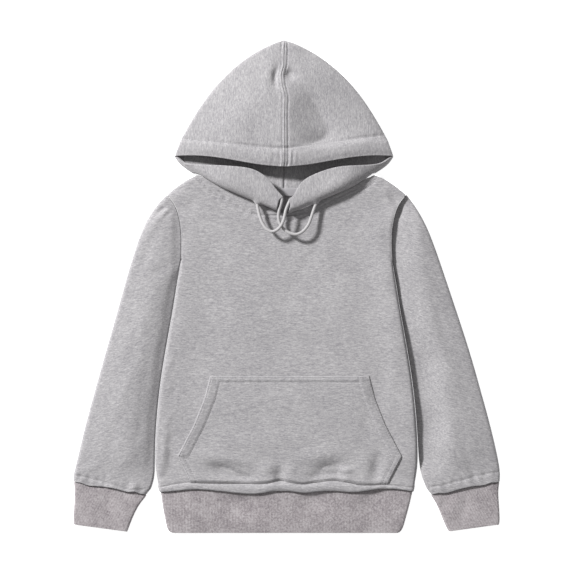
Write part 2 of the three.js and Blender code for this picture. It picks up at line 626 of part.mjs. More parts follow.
// Half of the hood: the upper layer, the back layer under it and the lower front, joined at the folded sides.
function hoodGeometry(side) {
  const name = side > 0 ? "right" : "left";
  const outline = new THREE.SplineCurve(HOOD_OUTLINE.map(({ x, y }) => new THREE.Vector2(x, y)));
  const inset = FLEECE / 2;
  const seamX = SEAM_GAP / 2;
  const plan = (x) => HOOD_X + side * x;
  const silhouette = HOOD_ROWS.map((share) => {
    const spot = outline.getPointAt(share ** HOOD_SIDE_BUNCH);
    const out = outline.getTangentAt(share ** HOOD_SIDE_BUNCH);
    return new THREE.Vector2(Math.max(seamX, spot.x - out.y * inset), spot.y + out.x * inset);
  });
  const lowerRows = THROAT_ROLL.length - 1;
  const corner = silhouette[0];
  const lowerSide = Array.from({ length: lowerRows + 1 }, (_, row) =>
    new THREE.Vector2(NECK_POINT.x, NECK_POINT.y).lerp(corner, row / lowerRows),
  );
  lowerSide.forEach((spot, row) => {
    spot.x += 3.2 * Math.sin((Math.PI * row) / lowerRows);
  });

  // Columns from the middle seam out to the folded side.
  const stations = (cells, ridge) => {
    const middle = ridge ? [0, SEAM_RIDGE_WIDTH, SEAM_RIDGE_WIDTH + 1] : [0, SEAM_RIDGE_WIDTH];
    return { middle, cells, count: middle.length + cells - 1 + ROLL.length - 1 };
  };
  const columnAt = ({ middle, cells }, column, half) => {
    const scale = Math.min(1, half / 24);
    const start = middle[middle.length - 1] * scale;
    const end = half - FOLD_RADIUS * scale;
    if (column < middle.length) return { x: middle[column] * scale, lift: 1 };
    const k = column - middle.length + 1;
    if (k < cells) return { x: lerp(start, end, k / cells), lift: 1 };
    const step = ROLL[ROLL.length - 1 - (k - cells)];
    return { x: half - step.inset * FOLD_RADIUS * scale, lift: step.lift };
  };
  const lastRow = HOOD_ROWS.length - 1;
  const rowLift = HOOD_ROWS.map((share) => Math.min(1, Math.sqrt(Math.max(0, (1 - share) / 0.05))));

  // Where the cloth is doubled: the lip's hem and the ridge of the middle seam.
  const doubled = new Map();
  const spotName = (x, y, z) => [x, y, z].map((value) => value.toFixed(1)).join();

  const topStations = stations(6, true);
  const topPlace = (column, row) => {
    const share = HOOD_ROWS[row];
    const edge = silhouette[row];
    const { x, lift } = columnAt(topStations, column, edge.x - seamX);
    const out = edge.x > seamX ? x / (edge.x - seamX) : 0;
    const middleY = lerp(LIP_Y, silhouette[lastRow].y, share);
    const lipCurve = lip(out * LIP[LIP.length - 1].x) - lerp(LIP_Y, HOOD_OUTLINE[0].y, out);
    const y = lerp(middleY, edge.y, out) + lipCurve * (1 - share) ** 2;
    const planX = plan(seamX + x);
    const arch = crown(share) * (1 - out ** 1.8) + foldHeight(HOOD_FOLDS, planX, y) * (1 - out ** 4);
    const z = lerp(FOLD_Z, FRONT_Z, lift * rowLift[row]) + arch * lift * rowLift[row];
    const hemRise = row <= HEM_ROW ? HEM_RISE * lift : 0;
    const ridgeRise = column <= 1 && row < lastRow - 1 ? SEAM_RIDGE : 0;
    doubled.set(spotName(planX, y, z), hemRise + ridgeRise);
    return [planX, y, z];
  };
  const top = sheet(topStations.count, lastRow, topPlace, side < 0);

  const backStations = stations(3, false);
  const backPlace = (column, row) => {
    const upperRow = row - lowerRows;
    const edge = upperRow >= 0 ? silhouette[upperRow] : lowerSide[row];
    const middleY =
      upperRow >= 0
        ? lerp(BACK_CORNER_Y, silhouette[lastRow].y, HOOD_ROWS[upperRow])
        : lerp(BACK_NECK_Y, BACK_CORNER_Y, row / lowerRows);
    const { x, lift } = columnAt(backStations, column, edge.x - seamX);
    const out = edge.x > seamX ? x / (edge.x - seamX) : 0;
    const low = lift * (upperRow >= 0 ? rowLift[upperRow] : 1);
    const planX = plan(seamX + x);
    const neckShare = upperRow < 0 ? (1 - row / lowerRows) * (1 - out ** 6) : 0;
    const y = lerp(lerp(middleY, edge.y, out), backNeck(Math.abs(planX)) + SEAM_GAP + 0.2, neckShare);
    return [planX, y, lerp(FOLD_Z, BACK_Z, low)];
  };
  const back = sheet(backStations.count, lastRow + lowerRows, backPlace, side > 0);

  // The lower front rolls up from the neck seam and over to the mouth's edge.
  const mouth = new THREE.SplineCurve(MOUTH_EDGE[name].map(({ x, y }) => new THREE.Vector2(x, y)));
  const frontCells = 9;
  const frontColumns = ROLL.length - 1 + frontCells;
  const frontPlace = (column, row) => {
    const step = THROAT_ROLL[row];
    const rolled = column < ROLL.length;
    const fold = rolled ? ROLL[column] : { inset: 1, lift: 1 };
    const far = rolled ? 0 : (column - ROLL.length + 1) / frontCells;
    const edgeSpot = new THREE.Vector2(plan(lowerSide[row].x), lowerSide[row].y);
    const neckX = lerp(plan(NECK_POINT.x), THROAT_X[name], far);
    const clear = SEAM_GAP + FLEECE / 2 + 0.5 + 1.0 * (1 - rising(far / 0.3));
    const neck = new THREE.Vector2(neckX, frontNeck(Math.abs(neckX)) + clear);
    if (far < 0.12) neck.y = Math.max(neck.y, lerp(NECK_POINT.y, neck.y, far / 0.12));
    neck.y -= step.out * rising(far / 0.15);
    const mouthSpot = mouth.getPointAt(far);
    const share = lerp(row / lowerRows, step.share, rising(far / 0.2));
    const spot = neck.clone().lerp(mouthSpot, share);
    if (far === 0) spot.copy(edgeSpot);
    spot.x -= side * fold.inset * FOLD_RADIUS * (far === 0 ? 1 : 0);
    const rollZ = lerp(FOLD_Z, FRONT_Z, fold.lift);
    const z = rollZ + (step.z - FRONT_Z) * rising(far / 0.42);
    return [spot.x, spot.y, z];
  };
  const front = sheet(frontColumns, lowerRows, frontPlace, side > 0);

  const raised = (p) => doubled.get(spotName(p.x, p.y, p.z)) ?? 0;
  // The edges along the middle seam stand square to it.
  const trim = (n, p) => {
    if (Math.abs(p.x - plan(seamX)) < TOUCH) n.setX(0).normalize();
  };
  return cloth([top, back, front], FLEECE, raised, trim);
}

// The pouch pocket: the front's own points moved out, cut to the pocket's outline, with thicker turned hems.
function pocketGeometry() {
  const outlinePoints = (inset) => {
    const heights = POCKET.map((row) => row.y);
    const right = heights.map((y) => new THREE.Vector2(POCKET_X + pocketHalf(y) - inset, y));
    const left = [...heights].reverse().map((y) => new THREE.Vector2(POCKET_X - pocketHalf(y) + inset, y));
    return [...left, ...right];
  };
  const prism = (points) =>
    toSolid(
      new THREE.ExtrudeGeometry(new THREE.Shape(points), { depth: 60, bevelEnabled: false }).translate(0, 0, -10),
    );
  const start = FLEECE / 2 + SEAM_GAP;
  const panel = toSolid(wall([frontSheet()], start, start + POCKET_CLOTH, hemWelt));
  const hemLayer = toSolid(
    wall([frontSheet()], start + POCKET_CLOTH / 2, start + POCKET_CLOTH + POCKET_HEM_RISE, hemWelt),
  );
  const openings = POCKET.filter((row) => row.y >= POCKET_CORNER_Y);
  const strips = [-1, 1].map((side) => {
    const edge = (inset) => openings.map(({ y, half }) => new THREE.Vector2(POCKET_X + side * (half - inset), y));
    const loop = [...edge(-1), ...edge(POCKET_HEM).reverse()];
    return prism(side > 0 ? loop.reverse() : loop);
  });
  const shape = prism(outlinePoints(0));
  const hems = strips.map((strip) => hemLayer.intersect(strip).intersect(shape));
  return fromSolid(hems.reduce((whole, hem) => whole.add(hem), panel.intersect(shape)));
}

function cordGeometry(points) {
  const route = new THREE.CatmullRomCurve3(points.map((point) => new THREE.Vector3(...point)));
  const round = new THREE.Shape();
  for (let k = 0; k < CORD_SIDES; k += 1) {
    const angle = (2 * Math.PI * k) / CORD_SIDES;
    const spot = [(CORD_DIAMETER / 2) * Math.cos(angle), (CORD_DIAMETER / 2) * Math.sin(angle)];
    if (k === 0) round.moveTo(...spot);
    else round.lineTo(...spot);
  }
  round.closePath();
  return new THREE.ExtrudeGeometry(round, { steps: CORD_STEPS, extrudePath: route, bevelEnabled: false });
}

const FLEECE_FINISH = { color: 0xb4b2b4, roughness: 0.95, metalness: 0 };
const RIB_FINISH = { color: 0xa9a4a6, roughness: 0.95, metalness: 0 };
const CORD_FINISH = { color: 0xbdbbbd, roughness: 0.85, metalness: 0 };

const hoodie = new THREE.Group();

function addPiece(name, geometry, finish) {
  const mesh = new THREE.Mesh(geometry, new THREE.MeshStandardMaterial(finish));
  mesh.name = name;
  hoodie.add(mesh);
}

addPiece("front_panel", cloth([frontSheet()], FLEECE, hemWelt, squareArmhole), FLEECE_FINISH);
addPiece("back_panel", cloth([backSheet()], FLEECE, () => 0, squareArmhole), FLEECE_FINISH);
addPiece("sleeve_left", sleeveGeometry(-1), FLEECE_FINISH);
addPiece("sleeve_right", sleeveGeometry(1), FLEECE_FINISH);
addPiece("cuff_left", cuffGeometry(-1), RIB_FINISH);
addPiece("cuff_right", cuffGeometry(1), RIB_FINISH);
addPiece("hem_band", hemBandGeometry(), RIB_FINISH);
addPiece("pocket", pocketGeometry(), FLEECE_FINISH);
addPiece("hood_left", hoodGeometry(-1), FLEECE_FINISH);
addPiece("hood_right", hoodGeometry(1), FLEECE_FINISH);
addPiece("drawcord_left", cordGeometry(CORD_LEFT), CORD_FINISH);
addPiece("drawcord_right", cordGeometry(CORD_RIGHT), CORD_FINISH);

export default hoodie;
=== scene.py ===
# A toddler's pullover hoodie in heather grey fleece, laid flat on its back on a pale table.
import math

import bmesh
import bpy
import numpy as np
from mathutils import Matrix, Vector
from mathutils.bvhtree import BVHTree


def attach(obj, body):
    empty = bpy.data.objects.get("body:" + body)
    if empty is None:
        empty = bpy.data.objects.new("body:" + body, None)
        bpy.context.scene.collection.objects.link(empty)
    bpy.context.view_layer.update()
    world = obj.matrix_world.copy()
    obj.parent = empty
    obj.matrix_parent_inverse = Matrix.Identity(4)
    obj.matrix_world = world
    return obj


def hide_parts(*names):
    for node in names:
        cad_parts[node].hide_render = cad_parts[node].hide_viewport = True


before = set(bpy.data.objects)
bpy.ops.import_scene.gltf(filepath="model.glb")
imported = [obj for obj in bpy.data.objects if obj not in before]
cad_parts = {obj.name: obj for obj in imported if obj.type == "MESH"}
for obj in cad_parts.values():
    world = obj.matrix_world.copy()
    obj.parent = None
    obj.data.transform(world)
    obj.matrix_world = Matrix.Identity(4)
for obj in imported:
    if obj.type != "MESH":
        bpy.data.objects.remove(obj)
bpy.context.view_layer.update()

# Sizes and places are millimetres, and MM turns them into Blender's metres. X runs across the chest, Y from
# hem to hood and Z up from the table. Left and right are the photograph's: left is -X.
MM = 0.001
SIDES = ("left", "right")
PICTURE = 573  # pixels across the photograph
PIXEL = 1.2 * MM  # what a pixel measures on the hoodie

# Camera: straight above the hoodie's middle, with a 100 mm lens that holds the photo's scale at its chest
VIEW_WIDTH = PICTURE * PIXEL
LENS = 100.0
SENSOR = 36.0
CHEST_HEIGHT = 8 * MM
camera_data = bpy.data.cameras.new("overhead")
camera_data.lens = LENS
camera_data.sensor_width = SENSOR
camera = bpy.data.objects.new("overhead", camera_data)
camera.location = (0.0, 0.0, VIEW_WIDTH * LENS / SENSOR + CHEST_HEIGHT)
bpy.context.scene.collection.objects.link(camera)
bpy.context.scene.camera = camera


# Colours and materials
def srgb(code):
    """A linear colour from an sRGB hex code."""
    parts = [int(code[k : k + 2], 16) / 255 for k in (0, 2, 4)]
    return [*(p / 12.92 if p <= 0.04045 else ((p + 0.055) / 1.055) ** 2.4 for p in parts), 1.0]


def node(tree, kind, inputs=None, **settings):
    """Adds a node with its settings. An input is a value, or another node's output, which is linked."""
    made = tree.nodes.new(kind)
    for name, value in settings.items():
        setattr(made, name, value)
    for name, value in (inputs or {}).items():
        if isinstance(value, bpy.types.NodeSocket):
            tree.links.new(value, made.inputs[name])
        else:
            made.inputs[name].default_value = value
    return made


def shaded(name, roughness, sheen):
    material = bpy.data.materials.new(name)
    material.use_nodes = True
    tree = material.node_tree
    shader = tree.nodes["Principled BSDF"]
    shader.inputs["Roughness"].default_value = roughness
    shader.inputs["Specular IOR Level"].default_value = 0.2
    shader.inputs["Sheen Weight"].default_value = sheen
    shader.inputs["Sheen Roughness"].default_value = 0.6
    return material, tree, shader


def plain(name, roughness, sheen, code):
    material, _, shader = shaded(name, roughness, sheen)
    shader.inputs["Base Color"].default_value = srgb(code)
    return material


def colour_cloth(tree, shader, total, full, stops, relief):
    """Colours cloth by a sum of patterns, full at the ramp's right end, and gives it a slight relief."""
    level = node(tree, "ShaderNodeMath", {0: total, 1: 1 / full}, operation="MULTIPLY").outputs[0]
    ramp = node(tree, "ShaderNodeValToRGB", {"Fac": level})
    elements = ramp.color_ramp.elements
    elements.remove(elements[1])
    for k, (at, code) in enumerate(stops):
        element = elements[0] if k == 0 else elements.new(at)
        element.position = at
        element.color = srgb(code)
    tree.links.new(ramp.outputs["Color"], shader.inputs["Base Color"])
    bump = node(tree, "ShaderNodeBump", {"Height": relief, "Strength": 0.35, "Distance": 0.4 * MM})
    tree.links.new(bump.outputs["Normal"], shader.inputs["Normal"])


def turned_place(tree, turn):
    """The piece's own coordinates, and the same turned so that the courses of the knit follow the piece."""
    place = node(tree, "ShaderNodeTexCoord").outputs["Object"]
    turned = node(tree, "ShaderNodeMapping", {"Vector": place, "Rotation": (0, 0, turn)})
    return place, turned.outputs["Vector"]


# The patterns' grains to a metre: along the courses and across them, or the same all ways.
FLECKS = (150, 760, 760)  # 6.7 mm long and 1.3 mm high
FIBRES = (420, 1100, 1100)  # short and pale, 2.4 mm by 0.9 mm
DYE_CLOUDS = 26.0  # slow changes of dye, about 40 mm apart
RIB_SPECKS = 430.0  # 2.3 mm apart
RIB_CLOUDS = 60.0  # 17 mm apart
RIB_PITCH = 1.8 * MM
WAVE_BANDS = 3.183  # bands to a metre of a wave texture of scale 1


def heather_fleece(name, turn=0.0):
    """Cotton-blend fleece of marled yarn: pale and dark flecks along the courses, under a faint nap."""
    dye_share = 0.22
    material, tree, shader = shaded(name, 0.92, 0.12)
    place, turned = turned_place(tree, turn)
    layers = []
    for grains, detail, roughness in ((FLECKS, 3.0, 0.6), (FIBRES, 2.0, 0.7)):
        stretched = node(tree, "ShaderNodeMapping", {"Vector": turned, "Scale": grains}).outputs["Vector"]
        grain = {"Vector": stretched, "Scale": 1.0, "Detail": detail, "Roughness": roughness}
        layers.append(node(tree, "ShaderNodeTexNoise", grain).outputs["Fac"])
    fleck, fibre = layers
    yarn = node(tree, "ShaderNodeMath", {0: fleck, 1: fibre}, operation="ADD").outputs[0]
    cloud = node(tree, "ShaderNodeTexNoise", {"Vector": place, "Scale": DYE_CLOUDS, "Detail": 3.0})
    dye = {0: cloud.outputs["Fac"], 1: dye_share, 2: yarn}
    dyed = node(tree, "ShaderNodeMath", dye, operation="MULTIPLY_ADD").outputs[0]
    stops = [(0.35, "7f7d81"), (0.5, "999799"), (0.65, "b5b3b4")]
    colour_cloth(tree, shader, dyed, 2 + dye_share, stops, yarn)
    return material


def heather_rib(name, turn=0.0, shade="8e888a"):
    """Double-knitted 1x1 rib of the same yarn: fine upright ribs, warmer and more mottled than fleece."""
    material, tree, shader = shaded(name, 0.94, 0.1)
    place, turned = turned_place(tree, turn)
    wave = {"Vector": turned, "Scale": 1 / (RIB_PITCH * WAVE_BANDS)}
    wave.update({"Distortion": 0.6, "Detail": 1.0, "Detail Scale": 2.0})
    ribs = node(tree, "ShaderNodeTexWave", wave, wave_type="BANDS", bands_direction="X").outputs["Fac"]
    speck = {"Vector": turned, "Scale": RIB_SPECKS, "Detail": 4.0, "Roughness": 0.75}
    cloud = {"Vector": place, "Scale": RIB_CLOUDS, "Detail": 4.0, "Roughness": 0.6}
    total = node(tree, "ShaderNodeTexNoise", speck).outputs["Fac"]
    clouds = node(tree, "ShaderNodeTexNoise", cloud).outputs["Fac"]
    for pattern, share in ((clouds, 0.45), (ribs, 0.1)):
        added = {0: pattern, 1: share, 2: total}
        total = node(tree, "ShaderNodeMath", added, operation="MULTIPLY_ADD").outputs[0]
    stops = [(0.365, "6f696e"), (0.5, shade), (0.635, "aba6a8")]
    colour_cloth(tree, shader, total, 1.5, stops, ribs)
    return material


SLEEVE_LEAN = math.radians(13.5)
CUFF_LEAN = math.radians(17)
body_fleece = heather_fleece("fleece_body")
hood_fleece = heather_fleece("fleece_hood", turn=math.radians(90))
sleeve_fleece = {
    "left": heather_fleece("fleece_sleeve_left", turn=-SLEEVE_LEAN),
    "right": heather_fleece("fleece_sleeve_right", turn=SLEEVE_LEAN),
}
hem_rib = heather_rib("rib_hem")
# Both cuffs are the band's rib, a little lighter. The right one is painted lighter still than the left:
# painted light that makes up for the shade it lies in, away from the key on the left.
cuff_rib = {
    "left": heather_rib("rib_cuff_left", -CUFF_LEAN, "948e90"),
    "right": heather_rib("rib_cuff_right", CUFF_LEAN, "979193"),
}
# Round braided cotton cord: matt, and a shade paler than the fleece.
braid = plain("braided_cord", 0.8, 0.2, "a5a3a4")
# Spun polyester sewing thread, dyed to match: smoother than the cloth, so it catches a little light.
thread = plain("polyester_thread", 0.55, 0.0, "9b999c")


# Drawcords, on the routes of their solids
CORD_DIAMETER = 3.6
CORD_LEFT = [
    (4.2, 103.2, 20.4), (2.7, 99.6, 20.8), (0.8, 95.4, 21.2), (-0.9, 90.6, 21.6), (-2.0, 85.2, 21.8),
    (-3.4, 79.2, 21.8), (-6.6, 72.4, 21.6), (-11.6, 67.4, 21.0), (-17.6, 65.6, 20.2), (-23.8, 68.8, 19.3),
    (-28.8, 75.8, 18.3), (-32.0, 84.0, 17.2), (-34.0, 92.4, 16.2), (-35.3, 99.6, 15.6),
]
CORD_RIGHT = [
    (-5.6, 107.4, 19.8), (-5.4, 103.6, 19.9), (-6.2, 99.4, 19.5), (-7.5, 95.0, 18.8), (-8.9, 90.0, 18.0),
    (-9.6, 84.6, 17.3), (-8.4, 76.6, 16.9), (-3.4, 68.8, 17.2), (4.6, 63.6, 18.0), (12.6, 62.4, 18.6),
    (20.0, 66.2, 18.6), (25.8, 73.4, 18.0), (29.4, 82.2, 17.1), (32.2, 90.8, 16.2), (35.4, 99.4, 15.6),
]


def smooth_route(points, steps):
    """A curve through every point, its bends as even as the points' spacing allows."""
    spots = [Vector(p) for p in points]
    spots = [2 * spots[0] - spots[1], *spots, 2 * spots[-1] - spots[-2]]
    line = []
    for k in range(1, len(spots) - 2):
        p = spots[k - 1 : k + 3]
        gaps = [max(1e-6, (p[n + 1] - p[n]).length ** 0.5) for n in range(3)]
        start = (p[1] - p[0]) / gaps[0] - (p[2] - p[0]) / (gaps[0] + gaps[1]) + (p[2] - p[1]) / gaps[1]
        end = (p[2] - p[1]) / gaps[1] - (p[3] - p[1]) / (gaps[1] + gaps[2]) + (p[3] - p[2]) / gaps[2]
        start, end = start * gaps[1], end * gaps[1]
        for step in range(steps):
            t = step / steps
            line.append(
                (2 * t**3 - 3 * t**2 + 1) * p[1]
                + (t**3 - 2 * t**2 + t) * start
                + (3 * t**2 - 2 * t**3) * p[2]
                + (t**3 - t**2) * end
            )
    return [*line, spots[-2]]


def drawcord(name, points, solid):
    route = [p * MM for p in smooth_route(points, 6)]
    curve = bpy.data.curves.new(name, "CURVE")
    curve.dimensions = "3D"
    curve.bevel_depth = CORD_DIAMETER / 2 * MM
    curve.bevel_resolution = 5
    curve.use_fill_caps = True
    line = curve.splines.new("POLY")
    line.points.add(len(route) - 1)
    for point, spot in zip(line.points, route):
        point.co = (*spot, 1)
    cord = bpy.data.objects.new(name, curve)
    bpy.context.scene.collection.objects.link(cord)
    curve.materials.append(braid)
    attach(cord, "root")
    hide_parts(solid)


drawcord("cord_loop_left", CORD_LEFT, "drawcord_left")
drawcord("cord_loop_right", CORD_RIGHT, "drawcord_right")


# Cloth: each piece starts as a smooth copy of its solid and is then creased
SUBDIVISIONS = 3
SHARP_EDGE = math.radians(52)  # an edge that bends more than this is a cut edge or a tight fold


def finished(name, mesh, material):
    piece = bpy.data.objects.new(name, mesh)
    bpy.context.scene.collection.objects.link(piece)
    dress(mesh, material)
    return piece


def dress(mesh, material):
    mesh.materials.clear()
    mesh.materials.append(material)
    mesh.polygons.foreach_set("use_smooth", [True] * len(mesh.polygons))


def smooth_copy(name, solid, material, edge=0.5):
    """A finely divided copy of a solid, with its cut edges rounded: softly at 0, not at all at 1."""
    shape = bmesh.new()
    shape.from_mesh(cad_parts[solid].data)
    bmesh.ops.remove_doubles(shape, verts=shape.verts, dist=0.002 * MM)
    bmesh.ops.join_triangles(
        shape,
        faces=shape.faces,
        angle_face_threshold=math.radians(60),
        angle_shape_threshold=math.radians(80),
    )
    crease = shape.edges.layers.float.new("crease_edge")
    for line in shape.edges:
        if len(line.link_faces) == 2 and line.calc_face_angle() > SHARP_EDGE:
            line[crease] = edge
    mesh = bpy.data.meshes.new(name)
    shape.to_mesh(mesh)
    shape.free()
    piece = finished(name, mesh, material)
    divide = piece.modifiers.new("fine", "SUBSURF")
    divide.levels = divide.render_levels = SUBDIVISIONS
    divide.boundary_smooth = "PRESERVE_CORNERS"
    graph = bpy.context.evaluated_depsgraph_get()
    fine = bpy.data.meshes.new_from_object(piece.evaluated_get(graph))
    piece.modifiers.clear()
    piece.data = fine
    dress(fine, material)
    return piece


def read(piece):
    """A piece's points and normals in millimetres."""
    mesh = piece.data
    points = np.empty(len(mesh.vertices) * 3, dtype=np.float64)
    normals = np.empty(len(mesh.vertices) * 3, dtype=np.float64)
    mesh.vertices.foreach_get("co", points)
    mesh.vertices.foreach_get("normal", normals)
    return points.reshape(-1, 3) / MM, normals.reshape(-1, 3)


def write(piece, points):
    piece.data.vertices.foreach_set("co", (points * MM).ravel())
    piece.data.update()


def smoothstep(low, high, value):
    t = np.clip((value - low) / (high - low), 0, 1)
    return t * t * (3 - 2 * t)


def bell(offset, width):
    """1 at no offset, falling smoothly to about a third at the width and nearly to nothing at twice that."""
    return np.exp(-((offset / width) ** 2))


def by_row(rows, at):
    """Reads a table of (place, value) rows at any place."""
    places, values = zip(*rows)
    return np.interp(at, places, values)


def facing_up(normals):
    return smoothstep(0.2, 0.7, normals[:, 2])


def swell(points, folds):
    """How far soft troughs and ridges lift the cloth.

    A fold is x, y, half length, half width, turn in degrees and rise.
    """
    lift = np.zeros(len(points))
    for x, y, along, across, turn, rise in folds:
        c, s = math.cos(math.radians(turn)), math.sin(math.radians(turn))
        run = (points[:, 0] - x) * c + (points[:, 1] - y) * s
        side = (points[:, 1] - y) * c - (points[:, 0] - x) * s
        lift += rise * np.exp(-((run / along) ** 2) - (side / across) ** 2)
    return lift


def from_line(points, line):
    """Each point's distance in plan from a line, and how far along the line its nearest spot is."""
    best = np.full(len(points), 1e9)
    along = np.zeros(len(points))
    start = 0.0
    for (ax, ay), (bx, by) in zip(line, line[1:]):
        run = np.array([bx - ax, by - ay])
        length = max(1e-6, math.hypot(*run))
        part = np.clip(((points[:, 0] - ax) * run[0] + (points[:, 1] - ay) * run[1]) / length**2, 0, 1)
        far = np.hypot(points[:, 0] - ax - part * run[0], points[:, 1] - ay - part * run[1])
        nearer = far < best
        best[nearer] = far[nearer]
        along[nearer] = start + part[nearer] * length
        start += length
    return best, along


def sewn(points, line, depth=0.45, width=1.5, pucker=0.18, pitch=11.0):
    """The groove that a row of stitches pulls into the cloth, with small uneven puckers along it."""
    far, along = from_line(points, line)
    near = far < 14
    lift = np.zeros(len(points))
    uneven = 0.6 + 0.4 * np.sin(along / 31.0)
    wave = np.sin(along * 2 * math.pi / pitch + 1.7 * np.sin(along / 23.0)) * uneven
    lift[near] = -depth * bell(far[near], width) + pucker * wave[near] * bell(far[near], 5.0)
    return lift


def edges_by_row(points, step=5.0):
    """How far from the hoodie's middle a piece starts and ends in each row, at each of its points."""
    rows = np.arange(points[:, 1].min(), points[:, 1].max() + step, step)
    away = np.abs(points[:, 0])
    near, far = [], []
    for row in rows:
        here = away[np.abs(points[:, 1] - row) < step]
        near.append(here.min() if len(here) else near[-1])
        far.append(here.max() if len(here) else far[-1])
    return np.interp(points[:, 1], rows, near), np.interp(points[:, 1], rows, far)


def curved(points, steps=8):
    return [tuple(p[:2]) for p in smooth_route([(x, y, 0) for x, y in points], steps)]


def waver_seam(points, line):
    """Shifts the cloth beside a seam a little along the arm, so that the seam isn't ruled straight."""
    far, along = from_line(points, line)
    shift = 1.1 * np.sin(along / 5.2 + 1.4 * np.sin(along / 13.0)) + 0.7 * np.sin(along / 11.0 + 2)
    ends = smoothstep(3, 14, along) * (1 - smoothstep(along.max() - 14, along.max() - 3, along))
    points[:, 1] += shift * ends * bell(far, 9)
    points[:, 2] += 0.7 * shift * ends * bell(far, 7) * smoothstep(4.5, 6.0, points[:, 2])


def surface_of(*pieces):
    shape = bmesh.new()
    for piece in pieces:
        shape.from_mesh(piece.data)
    tree = BVHTree.FromBMesh(shape)
    shape.free()
    return tree


def height_on(tree, x, y, start=100.0):
    """The height and the normal of what lies at a place, looking down from a start height."""
    spot, normal, _, _ = tree.ray_cast(Vector((x, y, start)) * MM, Vector((0, 0, -1)))
    return (spot.z / MM, normal) if spot is not None else (None, None)


def declared(piece, solid):
    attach(piece, "root")
    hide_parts(solid)
    return piece


# Front. The wavy seam between it and its rib band, and the roll that the seam's allowance makes above it
HEM_SEAM = np.array(curved([
    (-160, -247.6), (-131.4, -245.4), (-110.3, -243.2), (-78.6, -245.9), (-35.4, -249.4), (-13.8, -244.9),
    (-3.0, -243.9), (18.6, -248.3), (50.5, -244.7), (82.2, -247.4), (119.0, -242.2), (160, -247.6),
]))
ROLL_TOP = np.array(curved([
    (-160, -242.4), (-151.8, -241.2), (-124.2, -236.2), (-89.8, -236.6), (-55.8, -236.8), (-23.8, -236.6),
    (-16.2, -235.2), (-5.8, -233.4), (6.2, -235.8), (20.2, -237.4), (36.2, -235.2), (56.2, -233.2),
    (72.2, -235.2), (88.2, -238.2), (106.2, -238.6), (116.2, -237.8), (145.8, -241.2), (160, -242.6),
]))
NECK_TOPSTITCH = curved([
    (-106, 129.6), (-91, 114.6), (-62, 98.0), (-35.4, 85.6), (-12, 80.4), (4, 79.6), (23.4, 84.2), (52, 98.6),
    (78, 110.4), (100, 121.4), (107, 128.6),
])
# The seam that joins the hood to the front, just above its topstitching.
NECK_SEAM = curved([
    (-80, 114), (-66, 103.6), (-52, 94.5), (-43.8, 88.4), (-27, 85.6), (-10, 85.2), (3, 85.8), (18, 87.6),
    (30.6, 90.8), (50, 100.8), (70, 110.8), (84, 117.6),
])
FRONT_UPPER = (5.0, 6.6)  # between these heights the back layer ends and the front one begins
# Waves above the hem seam, dents in the pouch, creases at the sides and slow hollows over the chest.
FRONT_FOLDS = [
    (-75, -221, 17, 6.5, -20, -4.6), (-51, -229, 13, 5, -8, -3.2), (-90, -206, 22, 9, -14, 1.7),
    (-60, -209, 20, 6, -15, 1.8), (-8, -228, 6, 9, 20, -3.6), (-23, -219, 9, 7, 10, 1.6),
    (5, -221, 7, 8, 0, 1.1), (51, -221, 15, 8, 10, -4.4), (62, -226, 7, 6, 0, -2.2),
    (33, -229, 10, 5, 0, -2.4), (70, -220, 10, 4, -6, 2.6), (40, -203, 24, 9, 5, 1.9),
    (108, -218, 7, 16, -10, -2.6), (93, -213, 10, 12, 0, 1.3), (-138, -204, 6, 22, -8, -1.2),
    (-147, -198, 4, 24, -6, 1.0), (-140, -184, 9, 3.5, 50, -0.7), (-142, -160, 10, 3.5, 60, 0.6),
    (-137, -128, 12, 4, 66, -0.6), (-139, -90, 14, 4, 72, 0.5), (-134, -40, 18, 5, 78, -0.5),
    (-118, 96, 26, 7, 38, -0.7), (118, 92, 26, 7, -42, -0.9), (-122, 60, 22, 6, 75, -0.5),
    (120, 58, 24, 6, -78, -0.6), (130, 104, 8, 5, -45, -1.4), (-131, 116, 8, 3, 28, -1.2),
    (-90, 20, 60, 18, 20, 0.6), (60, -20, 70, 20, -25, 0.6), (0, -70, 90, 16, 4, -0.5),
    (-30, -186, 60, 14, 4, 0.9), (-40, -140, 70, 14, 3, 0.5), (-30, 66, 22, 8, -20, -0.6),
    (34, 62, 22, 8, 24, -0.6), (0, 74, 14, 6, 0, -0.5), (100, -150, 10, 40, -10, -0.8),
    (126, -120, 8, 44, -4, 0.7), (20, 20, 10, 50, -30, -0.5),
]
SIDE_FOLD_RISE = {"left": 1.3, "right": 4.4}


def hem_y(x):
    return np.interp(x, HEM_SEAM[:, 0], HEM_SEAM[:, 1]) + 0.4


def roll_y(x):
    return np.interp(x, ROLL_TOP[:, 0], ROLL_TOP[:, 1])


def hem_roll(x, y):
    """The roll's height: fullest at its two waves, with a line of stitches pulled in above it."""
    seam, top = hem_y(x), roll_y(x)
    share = (y - seam) / (top - seam)
    pouch = smoothstep(-126, -112, x) * (1 - smoothstep(108, 122, x))
    waves = 0.5 * bell(x - 4, 26) + 0.4 * bell(x - 80, 28)
    full = 0.7 + 0.35 * pouch + waves + 0.2 * np.sin(x / 7.0 + 1.3 * np.sin(x / 19.0))
    roll = full * np.sqrt(np.clip(1 - (2 * share - 1) ** 2, 0, 1))
    stitches = -0.8 * bell(y - top - 0.3, 1.0)
    swelling = 0.5 * bell(y - top - 6, 4.0)
    return roll + stitches + swelling


def side_folds(points, upper):
    """The sides stand up in a soft fold, higher on the right, and fall away slowly towards the middle."""
    x, y = points[:, 0], points[:, 1]
    _, far = edges_by_row(points)
    inside = far - np.abs(x)
    uneven = 0.86 + 0.14 * np.sin(y / 13 + np.sin(y / 29))
    rise = np.where(x > 0, SIDE_FOLD_RISE["right"], SIDE_FOLD_RISE["left"]) * uneven
    rise *= smoothstep(-238, -190, y) * (1 - smoothstep(66, 108, y))
    return rise * upper * bell(inside - 5, np.where(inside > 5, 24, 7))


